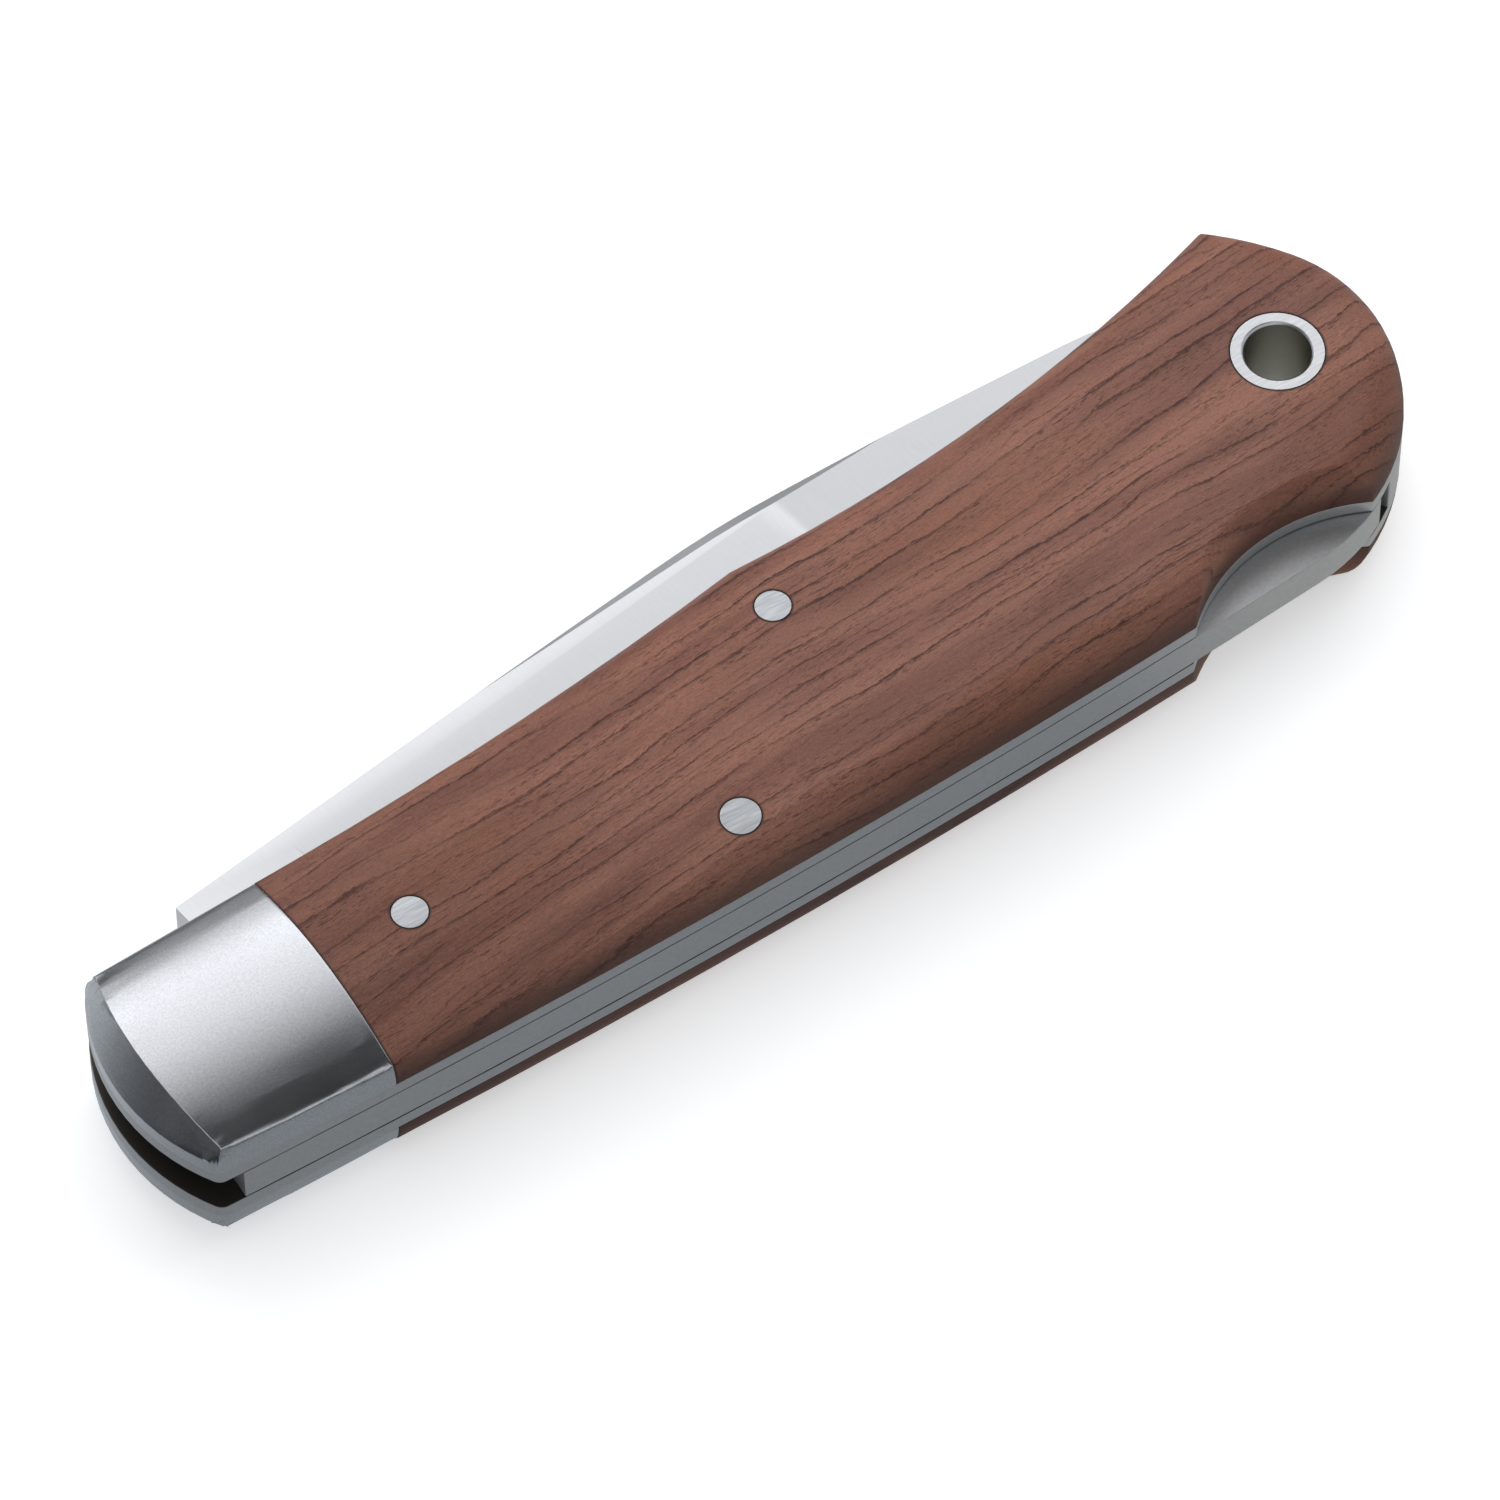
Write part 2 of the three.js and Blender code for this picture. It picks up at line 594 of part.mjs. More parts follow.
function handleSide(side, name) {
  const blindBore = rod(pivot, pivotPinRadius + pinFit, -pivotPinEnd, pivotPinEnd)
    .add(rod(bolsterPin, bolsterPinRadius + pinFit, -pivotPinEnd, pivotPinEnd, 24));
  let liner = handleForm.intersect(layer(side, channelHalf, linerTop)).subtract(blindBore);
  let scale = handleForm.intersect(layer(side, linerTop, handleTop)).intersect(beyond(bolsterLength));
  const bolster = handleForm
    .intersect(layer(side, linerTop, handleTop))
    .intersect(before(bolsterLength))
    .subtract(blindBore);
  for (const [centre, radius] of [[frontPin, scalePinRadius], [rearPin, scalePinRadius],
    [rocker, rockerPinRadius]]) {
    liner = bore(liner, centre, radius, 32);
    scale = bore(scale, centre, radius, 32);
  }
  liner = bore(bore(liner, springPin, springPinRadius, 24), spacerPin, spacerPinRadius, 24);
  liner = bore(liner, lanyard, lanyardOuterRadius, 48);
  scale = bore(scale, lanyard, lanyardOuterRadius, 48);
  const shortPin = (centre) =>
    rod(centre, scalePinRadius, -reach, reach).intersect(handleForm).intersect(layer(side, channelHalf, handleTop));
  const hiddenPin = rod(bolsterPin, bolsterPinRadius, -pivotPinEnd, pivotPinEnd, 24)
    .intersect(layer(side, channelHalf, handleTop));
  return [
    [`liner_${name}`, liner, linerSteel],
    [`bolster_${name}`, bolster, bolsterSteel],
    [`bolster_pin_${name}`, hiddenPin, pinSteel],
    [`scale_${name}`, scale, rosewood],
    [`scale_pin_front_${name}`, shortPin(frontPin), pinSteel],
    [`scale_pin_rear_${name}`, shortPin(rearPin), pinSteel]
  ];
}

const steel = (color, roughness) => ({ color, roughness, metalness: 1 });
const bladeSteel = steel(0xdfe2e4, 0.28);
const bolsterSteel = steel(0xb9bcc0, 0.36);
const linerSteel = steel(0x8e9193, 0.42);
const barSteel = steel(0x8a8c8e, 0.4);
const springSteel = steel(0x6d6f73, 0.45);
const pinSteel = steel(0xd2d4d6, 0.3);
const rosewood = { color: 0x7c4a3c, roughness: 0.55, metalness: 0 };

const pieces = [
  ...handleSide(1, 'upper'),
  ...handleSide(-1, 'lower'),
  ['blade', blade, bladeSteel],
  ['lock_bar', lockBar, barSteel],
  ['back_spring', backSpring, springSteel],
  ['end_spacer', endSpacer, linerSteel],
  ['pivot_pin', rod(pivot, pivotPinRadius, -pivotPinEnd, pivotPinEnd), pinSteel],
  ['rocker_pin', rod(rocker, rockerPinRadius, -reach, reach).intersect(wholeHandle), pinSteel],
  ['spring_pin', rod(springPin, springPinRadius, -linerTop, linerTop, 24), pinSteel],
  ['spacer_pin', rod(spacerPin, spacerPinRadius, -linerTop, linerTop, 24), pinSteel],
  ['lanyard_tube', lanyardTube(), pinSteel]
];

const group = new THREE.Group();
group.name = 'folding_pocket_knife';
for (const [name, form, look] of pieces) {
  const { vertProperties, triVerts } = form.getMesh();
  const geometry = new THREE.BufferGeometry();
  geometry.setAttribute('position', new THREE.BufferAttribute(vertProperties, 3));
  geometry.setIndex(new THREE.BufferAttribute(triVerts, 1));
  geometry.computeVertexNormals();
  const mesh = new THREE.Mesh(geometry, new THREE.MeshStandardMaterial(look));
  mesh.name = name;
  group.add(mesh);
}

// The origin lies under the middle of the closed knife, on the surface that it rests on
const box = new THREE.Box3().setFromObject(group);
const middle = box.getCenter(new THREE.Vector3());
for (const mesh of group.children) {
  mesh.geometry.translate(-middle.x, -middle.y, -box.min.z);
}

export default group;
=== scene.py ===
# Looks of the folding pocket knife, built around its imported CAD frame. Metres, Z up.

import math

import bpy
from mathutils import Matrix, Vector


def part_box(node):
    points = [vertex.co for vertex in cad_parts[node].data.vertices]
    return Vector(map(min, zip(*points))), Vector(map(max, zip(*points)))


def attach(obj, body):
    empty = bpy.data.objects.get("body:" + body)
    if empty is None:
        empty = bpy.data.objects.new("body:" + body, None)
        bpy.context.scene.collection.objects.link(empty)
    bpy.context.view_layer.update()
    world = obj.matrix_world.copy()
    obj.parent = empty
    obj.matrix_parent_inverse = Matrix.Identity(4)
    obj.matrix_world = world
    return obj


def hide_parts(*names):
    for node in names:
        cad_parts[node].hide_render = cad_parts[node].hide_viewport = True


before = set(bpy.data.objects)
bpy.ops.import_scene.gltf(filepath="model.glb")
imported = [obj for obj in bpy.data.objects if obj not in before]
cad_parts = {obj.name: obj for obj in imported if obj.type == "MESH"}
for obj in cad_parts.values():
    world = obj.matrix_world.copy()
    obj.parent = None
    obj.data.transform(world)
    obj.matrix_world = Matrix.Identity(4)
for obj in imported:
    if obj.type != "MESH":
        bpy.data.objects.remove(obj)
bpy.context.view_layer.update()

MM = 0.001

# Heights count from the surface that the knife lies on, halves from the middle of its thickness
MIDDLE_HEIGHT = 7.0 * MM
CHANNEL_HALF = 1.65 * MM
SEAM_HALF = 2.85 * MM
BORE_RADIUS = 2.5 * MM
BOLSTER_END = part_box("bolster_upper")[1].x

GRAIN_TILT = math.radians(-4.6)
BLADE_TILT = math.radians(7.23)
SANDING_TILT = math.radians(3)


# Camera: above the spine side of the bolsters, with a long lens

CAMERA_TARGET = Vector((-1.9045, -2.7052, 7.0)) * MM
CAMERA_DISTANCE = 0.7554
CAMERA_YAW = math.radians(33.8)
CAMERA_ELEVATION = math.radians(56.2)
SENSOR_WIDTH = 36
LENS = 252

sight = Vector((
    math.cos(CAMERA_ELEVATION) * math.sin(CAMERA_YAW),
    math.cos(CAMERA_ELEVATION) * math.cos(CAMERA_YAW),
    -math.sin(CAMERA_ELEVATION),
))
bpy.ops.object.camera_add(location=CAMERA_TARGET - sight * CAMERA_DISTANCE)
camera = bpy.context.object
camera.rotation_euler = sight.to_track_quat("-Z", "Y").to_euler()
camera.data.sensor_width = SENSOR_WIDTH
camera.data.lens = LENS
bpy.context.scene.camera = camera
bpy.context.scene.view_settings.view_transform = "Standard"


# Materials

def linear(code):
    """The linear colour of an sRGB hex value."""
    parts = [int(code[i:i + 2], 16) / 255 for i in (1, 3, 5)]
    return [p / 12.92 if p <= 0.04045 else ((p + 0.055) / 1.055) ** 2.4 for p in parts] + [1]


def node(tree, kind, inputs=(), **settings):
    """Adds a shader node with its settings.

    A list fills its inputs in order, a dict by number or name. Each is a value, a socket,
    or another node, which then gives its first output in use.
    """
    made = tree.nodes.new("ShaderNode" + kind)
    for name, value in settings.items():
        setattr(made, name, value)
    for socket, value in inputs.items() if isinstance(inputs, dict) else enumerate(inputs):
        if isinstance(value, bpy.types.Node):
            value = next(output for output in value.outputs if output.enabled)
        if isinstance(value, bpy.types.NodeSocket):
            tree.links.new(value, made.inputs[socket])
        else:
            made.inputs[socket].default_value = value
    return made


def empty_material(name):
    """A material without any nodes, and its node tree."""
    material = bpy.data.materials.new(name)
    material.use_nodes = True
    material.node_tree.nodes.clear()
    return material, material.node_tree


def millimetres(tree, scale=(1, 1, 1), turn=0.0):
    """Object coordinates in millimetres, turned about Z and then stretched by the given scale."""
    place = node(tree, "TexCoord").outputs["Object"]
    level = node(tree, "Mapping", {"Vector": place, "Scale": (1 / MM,) * 3, "Rotation": (0, 0, turn)})
    return node(tree, "Mapping", {"Vector": level, "Scale": scale})


def off_middle(tree):
    """How far a point lies above or below the middle of the knife, in millimetres."""
    height = node(tree, "SeparateXYZ", [millimetres(tree)]).outputs["Z"]
    lift = node(tree, "Math", [height, MIDDLE_HEIGHT / MM], operation="SUBTRACT")
    return node(tree, "Math", [lift], operation="ABSOLUTE")


def off_axis(tree, place, name):
    """How far a place lies from the upright axis of a round piece, in millimetres."""
    low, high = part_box(name)
    centre = (low + high) / 2 / MM
    flat = node(tree, "VectorMath", [place, (1, 1, 0)], operation="MULTIPLY")
    return node(tree, "VectorMath", [flat, (centre.x, centre.y, 0)], operation="DISTANCE")


def rims(tree):
    """A thin line in the wood where it meets each pin, the tube and the bolster."""
    place = millimetres(tree)
    x = node(tree, "SeparateXYZ", [place]).outputs["X"]
    nearest = node(tree, "Math", [x, BOLSTER_END / MM], operation="SUBTRACT")
    for name in ("scale_pin_front_upper", "scale_pin_rear_upper", "rocker_pin", "lanyard_tube"):
        low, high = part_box(name)
        radius = (high.x - low.x) / 2 / MM
        gap = node(tree, "Math", [off_axis(tree, place, name), radius], operation="SUBTRACT")
        nearest = node(tree, "Math", [nearest, gap], operation="MINIMUM")
    return node(tree, "MapRange", [nearest, 0.06, 0.24, 0.75, 0.0], interpolation_type="SMOOTHSTEP")


def oiled_rosewood():
    """Rosewood, sanded and oiled: reddish brown with thin ragged dark growth lines and open pores."""
    material, tree = empty_material("oiled_rosewood")
    axes = node(tree, "SeparateXYZ", [millimetres(tree, turn=GRAIN_TILT)]).outputs
    along, across, height = axes["X"], axes["Y"], axes["Z"]

    def figure(x, y, detail, roughness=0.5):
        """Noise that runs with the grain, with x features per millimetre along it and y across it."""
        return node(tree, "TexNoise", {
            "Vector": millimetres(tree, (x, y, y), GRAIN_TILT), "Scale": 1.0,
            "Detail": detail, "Roughness": roughness})

    def patches(x, y, detail, roughness, low, high, most=1.0):
        """Patches where the figure rises from low to high, up to the given strength."""
        return node(tree, "MapRange", [figure(x, y, detail, roughness), low, high, 0.0, most],
                    interpolation_type="SMOOTHSTEP")

    def lines(phase, changes, low, high, least):
        """How far a point lies between two lines, and how strong its line is along its length."""
        place = node(tree, "CombineXYZ", [
            node(tree, "Math", [along, changes], operation="MULTIPLY"),
            node(tree, "Math", [phase], operation="FLOOR")])
        swell = node(tree, "TexNoise", {"Vector": place, "Scale": 1.0, "Detail": 3.0, "Roughness": 0.5})
        strength = node(tree, "MapRange", [swell, low, high, least, 1.0], interpolation_type="SMOOTHSTEP")
        return node(tree, "Math", [phase], operation="FRACT"), strength

    def all_of(first, *others):
        """Where all of these are: their product."""
        for other in others:
            first = node(tree, "Math", [first, other], operation="MULTIPLY")
        return first

    # The grain bends by a few millimetres over the handle and is ragged by a tenth
    bent = node(tree, "Math", [figure(0.02, 0.05, 1.0), 7.0, across], operation="MULTIPLY_ADD")
    bent = node(tree, "Math", [height, 0.35, bent], operation="MULTIPLY_ADD")
    ragged = figure(1.5, 5.0, 3.0, 0.7)

    # Growth lines stand 1.5 to 3.5 mm apart: a dark core with a halo on one side
    ring = node(tree, "Math", [figure(0.15, 0.4, 1.0), 1.2, bent], operation="MULTIPLY_ADD")
    ring = node(tree, "Math", [ragged, 0.5, ring], operation="MULTIPLY_ADD")
    uneven = node(tree, "CombineXYZ", {"Y": node(tree, "Math", [ring, 0.21], operation="MULTIPLY")})
    uneven = node(tree, "TexNoise", {"Vector": uneven, "Scale": 1.0, "Detail": 1.0, "Roughness": 0.5})
    phase = node(tree, "Math", [ring, 0.55], operation="MULTIPLY")
    phase = node(tree, "Math", [uneven, 3.0, phase], operation="MULTIPLY_ADD")
    within, strength = lines(phase, 0.06, 0.38, 0.58, 0.2)
    stop = node(tree, "MapRange", [within, 0.955, 0.985, 1.0, 0.0], interpolation_type="SMOOTHSTEP")
    halo = node(tree, "MapRange", [within, 0.5, 0.95], interpolation_type="SMOOTHSTEP")
    halo = node(tree, "Math", [halo, 2.0], operation="POWER")
    halo = all_of(halo, stop, strength)
    core = node(tree, "MapRange", [within, 0.84, 0.91], interpolation_type="SMOOTHSTEP")
    core = all_of(core, stop, patches(0.9, 4.0, 3.0, 0.7, 0.38, 0.52), strength)

    # Finer lines between them, under a millimetre apart, which come and go
    wavy = node(tree, "Math", [figure(0.2, 0.7, 2.0), 1.5, bent], operation="MULTIPLY_ADD")
    wavy = node(tree, "Math", [ragged, 0.5, wavy], operation="MULTIPLY_ADD")
    phase = node(tree, "Math", [wavy, 1.35], operation="MULTIPLY")
    within, strength = lines(phase, 0.08, 0.42, 0.60, 0.0)
    fine = all_of(
        node(tree, "MapRange", [within, 0.74, 0.84], interpolation_type="SMOOTHSTEP"),
        node(tree, "MapRange", [within, 0.90, 0.98, 1.0, 0.0], interpolation_type="SMOOTHSTEP"),
        patches(1.1, 5.5, 2.0, 0.7, 0.40, 0.52), strength)

    # Open pores: dashes half a millimetre to two millimetres long, thickest along the growth lines
    pores = all_of(
        patches(1.2, 9.0, 2.0, 0.5, 0.60, 0.65),
        patches(0.12, 0.5, 2.0, 0.5, 0.38, 0.56),
        node(tree, "MapRange", [halo, 0.0, 0.35, 0.6, 1.0], interpolation_type="SMOOTHSTEP"))

    # Broad bands, warm and smoky patches
    bands = node(tree, "CombineXYZ", [
        node(tree, "Math", [along, 0.03], operation="MULTIPLY"),
        node(tree, "Math", [bent, 0.33], operation="MULTIPLY")])
    bands = node(tree, "TexNoise", {"Vector": bands, "Scale": 1.0, "Detail": 3.0, "Roughness": 0.5})
    bands = node(tree, "MapRange", [bands, 0.36, 0.64], interpolation_type="SMOOTHSTEP")
    colour = linear("#94624f")
    for part, tone in (
        (bands, "#7c4e40"),
        (patches(0.035, 0.09, 2.0, 0.5, 0.45, 0.65, 0.5), "#855036"),
        (patches(0.05, 0.20, 3.0, 0.5, 0.52, 0.70, 0.3), "#5c3f37"),
    ):
        colour = node(tree, "Mix", {0: part, 6: colour, 7: linear(tone)}, data_type="RGBA")

    # Fibres of two sizes; painted shade on the rolled edges, darker down to the liners, and on the wood
    # towards the back; and the wood darker towards the bolsters
    fibres = figure(0.8, 10, 4.0, 0.7)
    dust = figure(4, 9, 3.0, 0.75)
    grain_and_painted_shade = all_of(
        node(tree, "MapRange", [fibres, 0.28, 0.72, 0.80, 1.20]),
        node(tree, "MapRange", [dust, 0.28, 0.72, 0.72, 1.28]),
        node(tree, "MapRange", [off_middle(tree), 3.2, 6.0, 0.45, 1.0], interpolation_type="SMOOTHSTEP"),
        node(tree, "MapRange", [across, -15, -4, 0.78, 1.0], interpolation_type="SMOOTHSTEP"),
        node(tree, "MapRange", [along, -44, 2, 0.78, 1.0], interpolation_type="SMOOTHSTEP"))
    colour = node(tree, "VectorMath", [colour, grain_and_painted_shade], operation="MULTIPLY")

    for part, cover, tone in (
        (halo, 0.38, "#4d2c24"),
        (fine, 0.8, "#4f2a22"),
        (pores, 0.8, "#43231c"),
        (core, 0.92, "#42221b"),
        (rims(tree), 1.0, "#2c1b18"),
    ):
        part = node(tree, "Math", [part, cover], operation="MULTIPLY")
        colour = node(tree, "Mix", {0: part, 6: colour, 7: linear(tone)}, data_type="RGBA")

    hollows = node(tree, "Math", [pores, core], operation="MAXIMUM")
    relief = node(tree, "Math", [hollows, -1.0, fibres], operation="MULTIPLY_ADD")
    bump = node(tree, "Bump", {"Height": relief, "Strength": 0.6, "Distance": 0.05 * MM})
    rough = node(tree, "MapRange", [fibres, 0.3, 0.7, 0.48, 0.6], interpolation_type="SMOOTHSTEP")
    shader = node(tree, "BsdfPrincipled", {
        "Base Color": colour, "Roughness": rough, "Normal": bump, "IOR": 1.5, "Specular IOR Level": 0.35})
    node(tree, "OutputMaterial", {"Surface": shader})
    return material


def channel_faces(tree):
    """The faces towards the blade's channel, up to their broken edge."""
    low = CHANNEL_HALF / MM + 0.01
    return node(tree, "MapRange", [off_middle(tree), low, low + 0.05, 1.0, 0.0],
                interpolation_type="SMOOTHSTEP")


def tube_bore(tree):
    """The bore of the lanyard tube, up to its broken edge."""
    low = BORE_RADIUS / MM
    return node(tree, "MapRange", [
        off_axis(tree, millimetres(tree), "lanyard_tube"), low, low + 0.06, 1.0, 0.0],
        interpolation_type="SMOOTHSTEP")


def worked_steel(name, pale, dark, roughness, spread, marks, turn=0.0, depth=0.004, metallic=1.0, painted_shade=None):
    """Steel between two tones, with its marks per millimetre along three axes and their depth in millimetres.

    The last argument gives the function for faces that carry painted shade, and the colour of that shade.
    """
    material, tree = empty_material(name)
    grain = node(tree, "TexNoise", {
        "Vector": millimetres(tree, marks, turn), "Scale": 1.0, "Detail": 4.0, "Roughness": 0.6})
    clouds = node(tree, "TexNoise", {
        "Vector": millimetres(tree, (0.12, 0.12, 0.12), turn), "Scale": 1.0, "Detail": 2.0})
    colour = node(tree, "Mix", {0: grain, 6: linear(pale), 7: linear(dark)}, data_type="RGBA")
    if painted_shade:
        faces, tone = painted_shade
        colour = node(tree, "Mix", {0: faces(tree), 6: colour, 7: linear(tone)}, data_type="RGBA")
    rough = node(tree, "MapRange", [clouds, 0.3, 0.7, roughness - spread, roughness + spread])
    rough = node(tree, "Math", [grain, spread, rough], operation="MULTIPLY_ADD")
    bump = node(tree, "Bump", {"Height": grain, "Strength": 0.5, "Distance": depth * MM})
    shader = node(tree, "BsdfPrincipled", {
        "Base Color": colour, "Roughness": rough, "Metallic": metallic, "Normal": bump})
    node(tree, "OutputMaterial", {"Surface": shader})
    return material


rosewood = oiled_rosewood()

# Real grinding marks are some hundredths of a millimetre apart. They are drawn a few times
# as coarse, because they would not show otherwise.

# Stainless blade steel, ground and satin finished across the blade: near white, hardly any marks
blade_steel = worked_steel(
    "satin_blade_steel", "#e2e3e5", "#d5d7d9", 0.30, 0.02, (9, 0.5, 2), turn=-BLADE_TILT)
# Bolster steel, blasted: an even fine grain, bright for all its softness
bolster_steel = worked_steel(
    "blasted_bolster_steel", "#e2e4e7", "#b2b5b9", 0.22, 0.03, (6, 6, 6), depth=0.0055)
# Lock bar and spacer, ground level with the liners along the back: grey and rather dull
ground_steel = worked_steel(
    "ground_back_steel", "#cbcdce", "#a3a5a7", 0.40, 0.03, (2.5, 6, 9), depth=0.005, metallic=0.85)
# Liners: the same, but with painted shade where they face the blade's channel
liner_steel = worked_steel(
    "ground_liner_steel", "#cbcdce", "#a3a5a7", 0.40, 0.03, (2.5, 6, 9), depth=0.005, metallic=0.85,
    painted_shade=(channel_faces, "#4a4744"))
# Leaf spring, tempered and left plain: darker, with faint lines along it
spring_steel = worked_steel(
    "tempered_spring_steel", "#a2a5a9", "#8a8d91", 0.40, 0.03, (1, 5, 5))
# Pins, sanded level with the wood: scratched along the handle
sanded_steel = worked_steel(
    "sanded_pin_steel", "#dcdee0", "#85898d", 0.30, 0.04, (0.5, 6, 2), turn=SANDING_TILT, depth=0.02)
# Lanyard tube: sanded as the pins are, brighter at its ends, with painted shade in its bore
tube_steel = worked_steel(
    "sanded_tube_steel", "#ebecee", "#a8abae", 0.30, 0.04, (0.5, 6, 2), turn=SANDING_TILT, depth=0.02,
    painted_shade=(tube_bore, "#b3b2aa"))


# Finished copies of the CAD nodes: merged, edges broken, shaded smooth

SHARP_ANGLE = math.radians(32)
TOUCH = 0.01 * MM


def deselect_all():
    bpy.ops.object.select_all(action="DESELECT")


def weigh_edges(mesh):
    """Marks the sharp edges to be broken, without those where bolster and liner are ground as one."""
    weights = mesh.attributes.new("bevel_weight_edge", "FLOAT", "EDGE")
    faces = {}
    for face in mesh.polygons:
        for key in face.edge_keys:
            faces.setdefault(key, []).append(face.normal)
    for edge in mesh.edges:
        around = faces.get(edge.key, [])
        if len(around) != 2 or around[0].angle(around[1]) < SHARP_ANGLE:
            continue
        ends = [mesh.vertices[i].co for i in edge.vertices]
        ground = all(
            abs(abs(end.z - MIDDLE_HEIGHT) - SEAM_HALF) < TOUCH and end.x < BOLSTER_END - TOUCH
            for end in ends)
        weights.data[edge.index].value = 0.0 if ground else 1.0


# The bolster's two long crests: the side, the crest's Y at CREST_START, and its slope along X
CREST_START = -45 * MM
BOLSTER_CRESTS = ((-1, -13.344 * MM, -0.0514), (1, 4.390 * MM, 0.054))


def crest_inset(place):
    """How far inside the nearer crest a place on the bolster lies."""
    return min(side * (y + slope * (place.x - CREST_START) - place.y) for side, y, slope in BOLSTER_CRESTS)


def round_crests(piece):
    """Cuts the bolster into an even net beside its crests and smooths that net, as a buffing wheel does."""
    cuts = [((x * MM, 0, 0), (1, 0, 0)) for x in (-54, -52, -50, -48, -46, -44, -42, -40, -39.5)]
    cuts += [((CREST_START, y - side * inset * MM, 0), (-slope, 1, 0))
             for side, y, slope in BOLSTER_CRESTS for inset in (0.3, 0.6, 1.0, 1.5, 2.1)]
    cuts += [((0, 0, MIDDLE_HEIGHT + way * rise * MM), (0, 0, 1))
             for way in (-1, 1) for rise in (3.6, 4.1, 4.5, 4.8)]
    for place, normal in cuts:
        bpy.ops.mesh.select_all(action="SELECT")
        bpy.ops.mesh.bisect(plane_co=place, plane_no=normal)
    bpy.ops.mesh.select_mode(type="VERT")
    bpy.ops.mesh.select_all(action="DESELECT")
    bpy.ops.object.mode_set(mode="OBJECT")
    mesh = piece.data
    nose = {i for face in mesh.polygons if face.normal.x < -0.3 for i in face.vertices}
    for vertex in mesh.vertices:
        place = vertex.co
        # The nose facet keeps its outline, but for a touch at its upper end
        reach = 1.8 if vertex.index not in nose else 0.4 if place.y > 0 else 0.0
        vertex.select = (crest_inset(place) < reach * MM
                         and place.x < BOLSTER_END - TOUCH
                         and abs(place.z - MIDDLE_HEIGHT) > 3.3 * MM)
    bpy.ops.object.mode_set(mode="EDIT")
    bpy.ops.mesh.vertices_smooth(factor=0.5, repeat=5, xaxis=False)


def break_edges(piece, name, edge):
    """Rounds the marked edges of a finished copy by the given width in millimetres."""
    weigh_edges(piece.data)
    rounding = piece.modifiers.new("broken_edges", "BEVEL")
    rounding.width = edge * MM
    rounding.segments = 2
    rounding.limit_method = "WEIGHT"
    rounding.use_clamp_overlap = False
    bpy.ops.object.modifier_apply(modifier=rounding.name)
    # At a pointed corner the rounding shoots past the piece, so its points are brought back
    low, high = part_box(name)
    for vertex in piece.data.vertices:
        vertex.co = [min(max(c, least), most) for c, least, most in zip(vertex.co, low, high)]


def finished_copy(name, body, material, slot, edge, curve):
    """A copy of a CAD node with broken edges, smooth where faces meet within the given angle."""
    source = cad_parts[name]
    piece = bpy.data.objects.new(name + "_finished", source.data.copy())
    bpy.context.scene.collection.objects.link(piece)
    deselect_all()
    piece.select_set(True)
    bpy.context.view_layer.objects.active = piece
    if piece.data.has_custom_normals:
        bpy.ops.mesh.customdata_custom_splitnormals_clear()
    bpy.ops.object.mode_set(mode="EDIT")
    bpy.ops.mesh.select_all(action="SELECT")
    bpy.ops.mesh.remove_doubles(threshold=1e-6)
    bpy.ops.mesh.dissolve_limited(angle_limit=math.radians(0.1))
    if slot == "bolster_steel":
        round_crests(piece)
    bpy.ops.object.mode_set(mode="OBJECT")
    if edge:
        break_edges(piece, name, edge)
    bpy.ops.object.shade_smooth_by_angle(angle=math.radians(curve))
    evened = piece.modifiers.new("even_normals", "WEIGHTED_NORMAL")
    evened.mode = "FACE_AREA"
    evened.keep_sharp = True
    bpy.ops.object.modifier_apply(modifier=evened.name)
    piece.data.materials.clear()
    piece.data.materials.append(material)
    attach(piece, body)
    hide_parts(name)


# Per finish: nodes, body, material, slot, width of the broken edges in millimetres (none on
# the blade), and the angle in degrees up to which its faces are shaded as one. The seams
# between liners, bar and spacer show as thin dark lines, so their edges are the widest.
# The blade's 9 degrees keep the ridge of its grind soft and its cutting edge crisp.
for names, body, material, slot, edge, curve in (
    (("scale_upper", "scale_lower"), "handle", rosewood, "rosewood", 0.05, 50),
    (("bolster_upper", "bolster_lower"), "handle", bolster_steel, "bolster_steel", 0.06, 32),
    (("liner_upper", "liner_lower"), "handle", liner_steel, "liner_steel", 0.09, 32),
    (("end_spacer",), "handle", ground_steel, "liner_steel", 0.09, 32),
    (("lock_bar",), "lock_bar", ground_steel, "lock_bar_steel", 0.09, 32),
    (("blade",), "blade", blade_steel, "blade_steel", 0.0, 9),
    (("back_spring",), "handle", spring_steel, "spring_steel", 0.05, 32),
    (("lanyard_tube",), "handle", tube_steel, "pin_steel", 0.05, 32),
    (("rocker_pin", "pivot_pin", "spring_pin", "spacer_pin", "bolster_pin_upper", "bolster_pin_lower",
      "scale_pin_front_upper", "scale_pin_front_lower", "scale_pin_rear_upper", "scale_pin_rear_lower"),
     "handle", sanded_steel, "pin_steel", 0.05, 20),
):
    for name in names:
        finished_copy(name, body, material, slot, edge, curve)


# Studio: white table, two soft lights behind and above, and cards that only the metal shows

MAT_SIZE = (0.13, 0.09)
TENT_RADIUS = 3.5


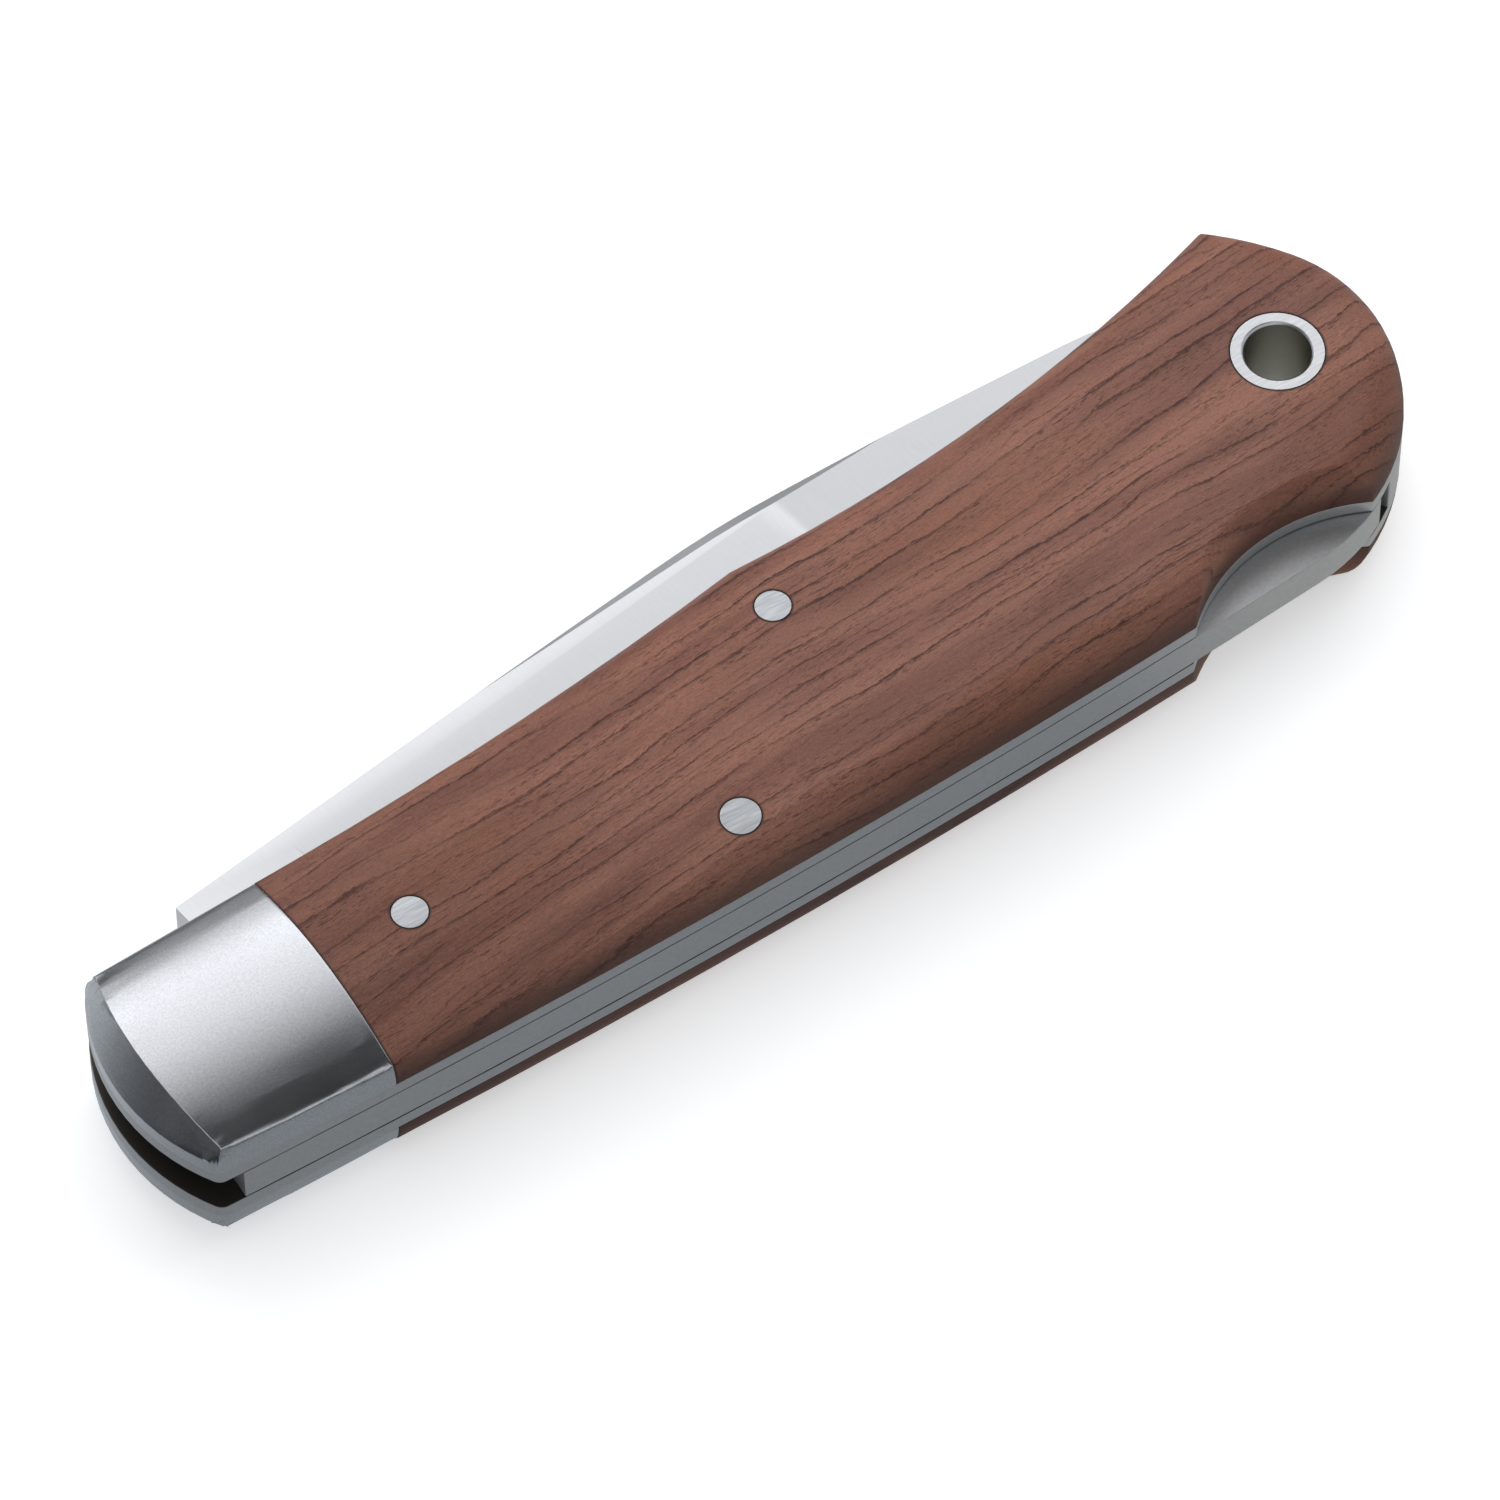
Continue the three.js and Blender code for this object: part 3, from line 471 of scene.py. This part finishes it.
def studio_floor():
    """A white table: it takes the knife's shadow and shows white to the eye and in the metal."""
    deselect_all()
    bpy.ops.mesh.primitive_plane_add(size=8, location=(0, 0, -0.1 * MM))
    floor = bpy.context.object
    floor.name = "table"
    material, tree = empty_material("white_table")
    rays = node(tree, "LightPath").outputs
    seen = node(tree, "Math", [rays["Is Camera Ray"], rays["Is Glossy Ray"]], operation="MAXIMUM")
    seen = node(tree, "Math", [seen, rays["Is Transmission Ray"]], operation="MAXIMUM")
    glow = node(tree, "Emission", {"Strength": node(tree, "Math", [seen, 0.42], operation="MULTIPLY")})
    paint = node(tree, "BsdfDiffuse", {"Color": linear("#eeeeee")})
    node(tree, "OutputMaterial", {"Surface": node(tree, "AddShader", [glow, paint])})
    floor.data.materials.append(material)


def metal_only(card, tone):
    """Gives a card an even or shaded glow that only reflections show."""
    card.data.materials.append(tone)
    card.visible_camera = False
    card.visible_diffuse = False
    card.visible_transmission = False
    card.visible_shadow = False


def ring_tone():
    """Dark card on the camera's side, grey behind the knife."""
    material, tree = empty_material("low_ring")
    across = node(tree, "SeparateXYZ", [node(tree, "TexCoord").outputs["Object"]]).outputs["Y"]
    behind = node(tree, "MapRange", [across, -0.2 * MAT_SIZE[1], MAT_SIZE[1]])
    tone = node(tree, "Mix", {0: behind, 6: linear("#22262a"), 7: linear("#8c9094")}, data_type="RGBA")
    node(tree, "OutputMaterial", {"Surface": node(tree, "Emission", [tone, 1.0])})
    return material


def mat_tone():
    """Grey that grows paler towards the soft lights and the butt, and dark off the bolsters' end."""
    material, tree = empty_material("grey_mat")
    axes = node(tree, "SeparateXYZ", [node(tree, "TexCoord").outputs["Object"]]).outputs
    butt = node(tree, "MapRange", [axes["X"], 0.02, 0.045], interpolation_type="SMOOTHSTEP")
    near = node(tree, "Mix", {0: butt, 6: linear("#94989c"), 7: linear("#c2c2bf")}, data_type="RGBA")
    behind = node(tree, "MapRange", [axes["Y"], -0.014, 0.014], interpolation_type="SMOOTHSTEP")
    near = node(tree, "Mix", {0: behind, 6: near, 7: linear("#c8ccd0")}, data_type="RGBA")
    behind = node(tree, "MapRange", [axes["Y"], 0.0, 0.04], interpolation_type="SMOOTHSTEP")
    far = node(tree, "Mix", {0: behind, 6: linear("#26292d"), 7: linear("#b4b8bc")}, data_type="RGBA")
    off = node(tree, "MapRange", [axes["X"], -0.092, -0.072, 1.0, 0.0], interpolation_type="SMOOTHSTEP")
    tone = node(tree, "Mix", {0: off, 6: near, 7: far}, data_type="RGBA")
    node(tree, "OutputMaterial", {"Surface": node(tree, "Emission", [tone, 1.0])})
    return material


def tent_tone(tones):
    """Glow by the angle over the knife: tones gives degrees from straight up towards +Y, and a level."""
    material, tree = empty_material("studio_tent")
    axes = node(tree, "SeparateXYZ", [node(tree, "TexCoord").outputs["Object"]]).outputs
    angle = node(tree, "Math", [axes["Y"], axes["Z"]], operation="ARCTAN2")
    scale = node(tree, "ValToRGB", [node(tree, "Math", [angle, 1 / math.pi, 0.5], operation="MULTIPLY_ADD")])
    stops = scale.color_ramp.elements
    while len(stops) < len(tones):
        stops.new(0.5)
    for stop, (degrees, level) in zip(stops, tones):
        stop.position = degrees / 180 + 0.5
        stop.color = (level, level, level, 1)
    # The dark tones are two narrow cards towards the butt, the rest of the tent is pale all round
    side = node(tree, "Math", [axes["X"], 1 / TENT_RADIUS], operation="MULTIPLY")
    off = node(tree, "Math", [side, 0.32], operation="SUBTRACT")
    off = node(tree, "Math", [off], operation="ABSOLUTE")
    beside = node(tree, "MapRange", [off, 0.24, 0.42, 0.0, 0.33], interpolation_type="SMOOTHSTEP")
    level = node(tree, "Math", [scale, beside], operation="MAXIMUM")
    # Off the bolsters' end it is dark too
    strength = node(tree, "MapRange", [side, -0.75, -0.45, 0.3, 2.0], interpolation_type="SMOOTHSTEP")
    strength = node(tree, "Math", [level, strength], operation="MULTIPLY")
    node(tree, "OutputMaterial", {"Surface": node(tree, "Emission", [linear("#fdfdff"), strength])})
    return material


def dark_cards():
    """A grey mat, a low ring and a wide tent of card, which give the bright metal its tones."""
    deselect_all()
    bpy.ops.mesh.primitive_circle_add(
        vertices=96, radius=1, fill_type="NGON", location=(0, 0, -0.05 * MM))
    mat = bpy.context.object
    mat.name = "grey_mat"
    mat.scale = (*MAT_SIZE, 1)
    bpy.ops.object.transform_apply(location=True, rotation=True, scale=True)
    metal_only(mat, mat_tone())
    deselect_all()
    bpy.ops.mesh.primitive_cylinder_add(
        vertices=96, radius=1, depth=1, end_fill_type="NOTHING", location=(0, 0, MIDDLE_HEIGHT))
    ring = bpy.context.object
    ring.name = "low_ring"
    ring.scale = (*MAT_SIZE, 2 * MIDDLE_HEIGHT)
    bpy.ops.object.transform_apply(location=True, rotation=True, scale=True)
    metal_only(ring, ring_tone())
    deselect_all()
    bpy.ops.mesh.primitive_uv_sphere_add(segments=48, ring_count=24, radius=TENT_RADIUS, location=(0, 0, 0))
    tent = bpy.context.object
    tent.name = "studio_tent"
    metal_only(tent, tent_tone((
        (-90, 0.30), (-66, 0.34), (-50, 0.26), (-38, 0.02), (-10, 0.01), (-4, 0.05), (1, 0.18), (8, 0.31),
        (14, 0.40), (20, 0.50), (28, 0.62), (34, 0.64), (44, 0.74), (56, 0.88), (66, 0.22), (76, 0.05),
        (90, 0.04))))


def soft_box(direction, distance, size, level):
    """A soft light that faces the knife, with its width and height in metres and its radiance."""
    direction = Vector(direction).normalized()
    bpy.ops.object.light_add(type="AREA", location=direction * distance)
    light = bpy.context.object
    light.rotation_euler = (-direction).to_track_quat("-Z", "Y").to_euler()
    light.data.shape = "RECTANGLE"
    light.data.size, light.data.size_y = size
    light.data.energy = level * math.pi * size[0] * size[1]
    light.visible_glossy = False


studio_floor()
dark_cards()
soft_box((0.309, 0.696, 0.649), 1.0, (1.5, 0.69), 1.2)
soft_box((0.309, 0.254, 0.916), 1.0, (1.5, 0.44), 0.9)

world = bpy.data.worlds.new("studio")
bpy.context.scene.world = world
world.cycles_visibility.glossy = False
world.use_nodes = True
world.node_tree.nodes.clear()
sky = node(world.node_tree, "Background", {"Color": linear("#d2d5d8"), "Strength": 0.95})
node(world.node_tree, "OutputWorld", {"Surface": sky})
